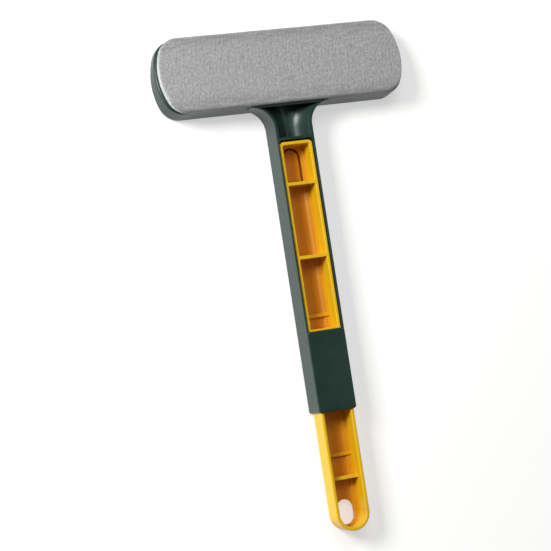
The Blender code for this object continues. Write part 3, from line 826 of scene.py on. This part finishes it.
def inflated(columns, rows, outline):
    """How far a cover that is held all round rises when the foam presses on it, from 0 to 1, by
    cloth simulation. It runs at twenty times real size, where the solver is steady."""
    flat = pad_grid(outline, columns, rows) * TRIAL_SCALE
    points = np.concatenate([flat.reshape(-1, 2), np.zeros((rows * columns, 1))], 1)
    cell = np.arange(rows * columns).reshape(rows, columns)
    cover = new_object("cover_trial", points, between(cell).tolist())
    border = cover.vertex_groups.new(name="held")
    edge = np.concatenate([cell[0], cell[-1], cell[:, 0], cell[:, -1]])
    border.add(np.unique(edge).tolist(), 1.0, "REPLACE")
    cloth = cover.modifiers.new("cover", "CLOTH")
    cloth.settings.quality = 6
    cloth.settings.mass = 0.3
    cloth.settings.tension_stiffness = cloth.settings.compression_stiffness = 12
    cloth.settings.bending_stiffness = 0.6
    cloth.settings.shrink_min = -0.02
    cloth.settings.vertex_group_mass = "held"
    cloth.settings.use_pressure = True
    cloth.settings.uniform_pressure_force = 3
    cloth.settings.effector_weights.gravity = 0
    cloth.point_cache.frame_start, cloth.point_cache.frame_end = 1, TRIAL_FRAMES
    scene = bpy.context.scene
    for step in range(1, TRIAL_FRAMES + 1):
        scene.frame_set(step)
    risen = cover.evaluated_get(bpy.context.evaluated_depsgraph_get()).data
    found = np.empty(len(points) * 3)
    risen.vertices.foreach_get("co", found)
    height = found.reshape(rows, columns, 3)[:, :, 2]
    scene.frame_set(1)
    bpy.data.objects.remove(cover, do_unlink=True)
    return np.clip(height, 0, None) / max(height.max(), 1e-9)


def enlarged(values, rows, columns):
    """Values on a coarse grid read at a finer one's places, between the nearest two each way."""
    at_row = np.linspace(0, values.shape[0] - 1, rows)
    at_column = np.linspace(0, values.shape[1] - 1, columns)
    across = np.stack([np.interp(at_column, np.arange(values.shape[1]), row) for row in values])
    down = [np.interp(at_row, np.arange(values.shape[0]), column) for column in across.T]
    return np.stack(down, 1)


def layer_mesh(name, face, back):
    """A closed layer: the face grid, a wall round its border and the back grid turned over."""
    rows, columns = face.shape[:2]
    count = rows * columns
    cell = np.arange(count).reshape(rows, columns)
    quads = between(cell)
    ring = np.concatenate([cell[0, :-1], cell[:-1, -1], cell[-1, :0:-1], cell[:0:-1, 0]])
    after = np.roll(ring, -1)
    wall = np.stack([ring, ring + count, after + count, after], 1)
    points = np.concatenate([face.reshape(-1, 3), back.reshape(-1, 3)])
    faces = np.concatenate([quads, quads[:, ::-1] + count, wall])
    return new_object(name, head_space(points), faces.tolist())


def cloth_face():
    """Microfibre cover: its middle risen a little, its edge rolled down in a quarter round, its
    surface in tufts. Along the long sides it also covers the foam's edge, and it stops short of
    that at the open ends."""
    outline = head_outline(PAD_LENGTH, PAD_HEIGHT)
    rows, columns = ((150, 500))
    grid = pad_grid(outline, columns, rows)
    flat = grid.reshape(-1, 2)
    rng = np.random.default_rng(11)
    to_edge = edge_distance(flat, outline)
    tucked = np.clip((TUCK_END - np.abs(flat[:, 0])) / TUCK_FADE, 0, 1)
    roll = OPEN_ROLL + (LONG_ROLL - OPEN_ROLL) * tucked
    inward = np.clip(to_edge, 0, roll)
    dip = roll - np.sqrt(np.maximum(roll**2 - (roll - inward) ** 2, 0))
    pile = TUFT_HEIGHT * tufts(flat, TUFT_PITCH, rng) + WAVE_HEIGHT * swell(flat, WAVE_LENGTH, rng)
    rise = np.zeros(rows * columns)
    rise = CROWN * enlarged(inflated(*TRIAL_GRID, outline), rows, columns).ravel()
    height = rise - dip + (pile - 0.06 * MM) * np.clip(inward / roll + 0.25, 0, 1)
    face = np.column_stack([flat, height]).reshape(rows, columns, 3)
    below = 0.9 * FOAM_THICK * tucked * (to_edge < FOAM_TUCK - GAP)
    back = np.column_stack([flat, -CLOTH_THICK - below]).reshape(rows, columns, 3)
    cloth = layer_mesh("microfibre_face", face, back)
    return cloth


def foam_core():
    """Cut foam whose sides bulge in half a sine wave over its height. Its long sides are covered,
    so they lie further in."""
    outline = head_outline(PAD_LENGTH, PAD_HEIGHT) * (1, 1 - 2 * FOAM_TUCK / PAD_HEIGHT)
    high, low = -CLOTH_THICK - 0.03 * MM, PAD_BACK + LOOP_THICK + 0.03 * MM
    share = np.linspace(0, 1, 9)
    bulge = 0.25 * MM - 0.2 * MM * np.sin(share * pi)
    core = head_prism("foam_core", outline, list(zip(bulge, low + (high - low) * share)))
    return core


def loop_fabric():
    """Knitted loops: rows of humps, each the product of two cosines, half a step over from row to
    row."""
    outline = inset(head_outline(PAD_LENGTH, PAD_HEIGHT), 0.1 * MM)
    rows, columns = 72, 240
    grid = pad_grid(outline, columns, rows)
    flat = grid.reshape(-1, 2)
    row = np.round(flat[:, 1] / (WALE / 2))
    across = np.cos(2 * pi * (flat[:, 0] / WALE + row / 2))
    loops = across * np.cos(2 * pi * flat[:, 1] / WALE)
    fade = np.clip(edge_distance(flat, outline) / MM, 0, 1)
    deep = PAD_BACK + LOOP_HEIGHT - LOOP_HEIGHT * loops * fade
    front = np.full(len(flat), PAD_BACK + LOOP_THICK)
    face = np.column_stack([flat, front]).reshape(rows, columns, 3)
    back = np.column_stack([flat, deep]).reshape(rows, columns, 3)
    loop = layer_mesh("loop_fabric", face, back)
    return loop


# Materials of the pad, the tapes and the screws


def brushed_cloth(name, dark, light):
    """Microfibre, brushed after knitting: split fibres scatter light, so it has sheen and no gloss.
    Tufts are about a millimetre across and bunches of fibres half that. The courses of the knit,
    0.7 mm apart, run along the head, and show where the long edges stretch them. Single fibres
    are far finer, so the nap is drawn at 0.2 mm to show."""
    made, tree, shader = blank_material(
        name, Roughness=0.95, Specular_IOR_Level=0.15, Sheen_Weight=0.2, Sheen_Roughness=0.6
    )
    place = node(tree, "ShaderNodeTexCoord").outputs["Object"]
    tuft = node(tree, "ShaderNodeTexNoise", Vector=place, Scale=1 / (1.3 * MM), Detail=2.0)
    fibre = node(tree, "ShaderNodeTexNoise", Vector=place, Scale=1 / (0.55 * MM), Detail=3.0)
    halves = {0: 0.5, 2: tuft.outputs["Fac"], 3: fibre.outputs["Fac"]}
    pile = node(tree, "ShaderNodeMix", {"data_type": "FLOAT"}, halves)
    squeezed = node(tree, "ShaderNodeMapping", Vector=place, Scale=(0.12, 1.0, 0.3))
    stretched = squeezed.outputs["Vector"]
    course = node(tree, "ShaderNodeTexNoise", Vector=stretched, Scale=1 / (1.4 * MM))
    apart = node(tree, "ShaderNodeSeparateXYZ", Vector=place)
    up = {0: apart.outputs["Y"], 1: PAD_CENTRE[1]}
    from_middle = node(tree, "ShaderNodeMath", {"operation": "SUBTRACT"}, up)
    size = {0: from_middle.outputs[0]}
    either_way = node(tree, "ShaderNodeMath", {"operation": "ABSOLUTE"}, size)
    near_edge = node(
        tree,
        "ShaderNodeMapRange",
        Value=either_way.outputs[0],
        From_Min=PAD_HEIGHT / 2 - 9 * MM,
        From_Max=PAD_HEIGHT / 2 - 1 * MM,
        To_Max=0.6,
    ).outputs["Result"]
    ends = {0: near_edge, 2: pile.outputs[0], 3: course.outputs["Fac"]}
    knit = node(tree, "ShaderNodeMix", {"data_type": "FLOAT"}, ends)
    # darker towards both long edges: painted shade on the cloth's rolled long edges
    darker = {0: near_edge, 1: -0.2, 2: knit.outputs[0]}
    edge_shaded = node(tree, "ShaderNodeMath", {"operation": "MULTIPLY_ADD"}, darker)
    nap = node(tree, "ShaderNodeTexNoise", Vector=place, Scale=1 / (0.2 * MM), Detail=3.0)
    height = nap.outputs["Fac"]
    bump = node(tree, "ShaderNodeBump", Height=height, Strength=0.5, Distance=0.08 * MM)
    feed(tree, shader, Base_Color=graded(tree, edge_shaded.outputs[0], dark, light, 0.36, 0.64))
    feed(tree, shader, Normal=bump.outputs["Normal"])
    return made


def cut_foam(name, wall, pore_shade):
    """White polyether foam, cut with a hot wire: matt, with open pores about 0.4 mm across."""
    made, tree, shader = blank_material(name, Roughness=0.9, Specular_IOR_Level=0.2)
    place = node(tree, "ShaderNodeTexCoord").outputs["Object"]
    pores = node(tree, "ShaderNodeTexVoronoi", Vector=place, Scale=1 / (0.4 * MM))
    depth = pores.outputs["Distance"]
    bump = node(tree, "ShaderNodeBump", Height=depth, Strength=0.4, Distance=0.1 * MM)
    # darker towards each pore's middle: painted shade in the pores
    feed(tree, shader, Base_Color=graded(tree, depth, pore_shade, wall, 0.1, 0.4))
    feed(tree, shader, Normal=bump.outputs["Normal"])
    return made


def knitted_loops(name, dark, light):
    """Brushed nylon loop fabric: wales 1.5 mm apart under fine fibres, soft and without gloss."""
    made, tree, shader = blank_material(
        name, Roughness=0.85, Specular_IOR_Level=0.25, Sheen_Weight=0.2
    )
    place = node(tree, "ShaderNodeTexCoord").outputs["Object"]
    bands = {"bands_direction": "X"}
    knit = node(
        tree, "ShaderNodeTexWave", bands, Vector=place, Scale=1 / (4.7 * MM), Distortion=3.0
    )
    height = knit.outputs["Fac"]
    bump = node(tree, "ShaderNodeBump", Height=height, Strength=0.4, Distance=0.1 * MM)
    # darker where the knit lies low: painted shade between the wales
    feed(tree, shader, Base_Color=graded(tree, height, dark, light, 0.1, 0.8))
    feed(tree, shader, Normal=bump.outputs["Normal"])
    return made


def hook_nylon(name, dark, light):
    """Extruded nylon, dyed through: dull, with a faint drift in shade from row to row."""
    made, tree, shader = blank_material(name, IOR=1.53, Roughness=0.55)
    place = node(tree, "ShaderNodeTexCoord").outputs["Object"]
    drift = node(tree, "ShaderNodeTexNoise", Vector=place, Scale=1 / (4 * MM))
    feed(tree, shader, Base_Color=graded(tree, drift.outputs["Fac"], dark, light))
    return made


def zinc_steel(name, dark, light):
    """Zinc plate over steel: bright, with a faint cloud where the plate is thicker."""
    made, tree, shader = blank_material(name, Metallic=1.0)
    place = node(tree, "ShaderNodeTexCoord").outputs["Object"]
    cloud = node(tree, "ShaderNodeTexNoise", Vector=place, Scale=1 / (1.5 * MM), Detail=3.0)
    pattern = cloud.outputs["Fac"]
    rough = node(tree, "ShaderNodeMapRange", Value=pattern, To_Min=0.24, To_Max=0.38)
    feed(tree, shader, Base_Color=graded(tree, pattern, dark, light))
    feed(tree, shader, Roughness=rough.outputs["Result"])
    return made


# Camera, floor and light


def front_camera():
    """Above the wiper's front, a little to its left, turned so that the handle leans."""
    side, below, roll = radians(-22.5), radians(-2.2), radians(-8.81)
    distance, shift_left, shift_up = 1.227, 27.95 * MM, 30.2 * MM
    back = Vector((sin(side) * cos(below), sin(below), cos(side) * cos(below)))
    right = Vector((0, 1, 0)).cross(back).normalized()
    up = back.cross(right)
    across = cos(roll) * right + sin(roll) * up
    upright = cos(roll) * up - sin(roll) * right
    aim = Vector((0.0, COLLAR_HIGH, RIM_Z)) - across * shift_left + upright * shift_up
    camera = bpy.data.objects.new("camera", bpy.data.cameras.new("camera"))
    bpy.context.scene.collection.objects.link(camera)
    turn = Matrix((across, upright, back)).transposed()
    camera.matrix_world = Matrix.Translation(aim + back * distance) @ turn.to_4x4()
    camera.data.sensor_width = 36
    camera.data.lens = 143.74
    camera.data.clip_start = 0.01
    bpy.context.scene.camera = camera


def panel_light(name, towards, distance, width, length, power):
    """A soft rectangular light that shines on the wiper from a direction, its length upwards."""
    light = bpy.data.lights.new(name, "AREA")
    light.shape = "RECTANGLE"
    light.size, light.size_y = width, length
    light.energy = power
    made = bpy.data.objects.new(name, light)
    bpy.context.scene.collection.objects.link(made)
    back = Vector(towards).normalized()
    side = Vector((0, 1, 0)).cross(back).normalized()
    turn = Matrix((side, back.cross(side), back)).transposed()
    made.matrix_world = Matrix.Translation(back * distance) @ turn.to_4x4()


def studio():
    """A lit white table, a tall soft box at the upper left, a weaker one above, and a thin strip at
    either side."""
    table = blank_material(
        "white_acrylic_table",
        Roughness=0.9,
        Specular_IOR_Level=0.1,
        Base_Color=linear("#D6D6D4"),
        Emission_Color=linear("#FFFFFF"),
        Emission_Strength=0.5,
    )[0]
    bpy.ops.mesh.primitive_plane_add(size=6, location=(0, 0, -0.2 * MM))
    floor = bpy.context.object
    floor.name = "floor"
    floor.data.materials.append(table)
    world = bpy.data.worlds.new("studio")
    world.use_nodes = True
    bpy.context.scene.world = world
    background = world.node_tree.nodes["Background"]
    feed(world.node_tree, background, Color=linear("#FFFFFF"), Strength=0.12)
    panel_light("key", (-0.71, 0.41, 0.57), 1.2, 0.35, 0.4, 13.8)
    panel_light("left_strip", (-1.0, 0.0, 0.09), 1.2, 0.06, 0.8, 1.5)
    panel_light("right_strip", (0.67, 0.05, 0.74), 1.2, 0.04, 0.5, 0.7)
    panel_light("top", (-0.1, 0.55, 0.83), 1.4, 0.6, 0.6, 4.6)
    bpy.context.scene.view_settings.view_transform = "Standard"


def main():
    """Sets the stage, then builds each piece and dresses it."""
    front_camera()
    studio()
    green = moulded_plastic("green_moulded_polypropylene", "#1F332B", "#253A33", 0.29, 0.36)
    # D0840A is the painted shade colour inside the grip's hollow
    yellow = moulded_plastic(
        "yellow_moulded_polypropylene", "#E4B40E", "#EABC14", 0.36, 0.5, "#D0840A"
    )
    cloth = brushed_cloth("grey_brushed_microfibre", "#8A8A8A", "#B0B0B0")
    foam = cut_foam("white_cut_foam", "#CCD1CE", "#B6BCB9")
    loops = knitted_loops("white_nylon_loops", "#B4B8B6", "#CED2D0")
    hooks = hook_nylon("black_extruded_nylon_hooks", "#141414", "#1E1E1E")
    steel = zinc_steel("zinc_plated_steel", "#A9ABAD", "#C4C6C7")

    dress(smoothed(handle_moulding()), green, "green_plastic", "handle", "handle_body")
    dress(smoothed(grip_moulding()), yellow, "yellow_plastic", "grip", "sliding_grip")
    dress(smoothed(latch_tongue()), yellow, "yellow_plastic", "latch", "latch_tongue")
    dress(smoothed(closing_plate()), green, "green_plastic", "handle", "pad_plate")
    for i, place in enumerate(screw_places()):
        screw = smoothed(plate_screw(f"pan_head_screw_{i + 1}", place))
        dress(screw, steel, "screw_steel", "handle", f"plate_screw_{i + 1}")
    for side in ("left", "middle", "right"):
        tape = smoothed(hook_tape(f"hooks_{side}", f"hook_tape_{side}"))
        dress(tape, hooks, "hook_tape", "handle", f"hook_tape_{side}")
    dress(smoothed(cloth_face(), 60), cloth, "grey_cloth", "pad", "cleaning_cloth")
    dress(smoothed(foam_core(), 60), foam, "white_foam", "pad", "pad_foam")
    dress(smoothed(loop_fabric(), 60), loops, "loop_fabric", "pad", "loop_backing")


main()
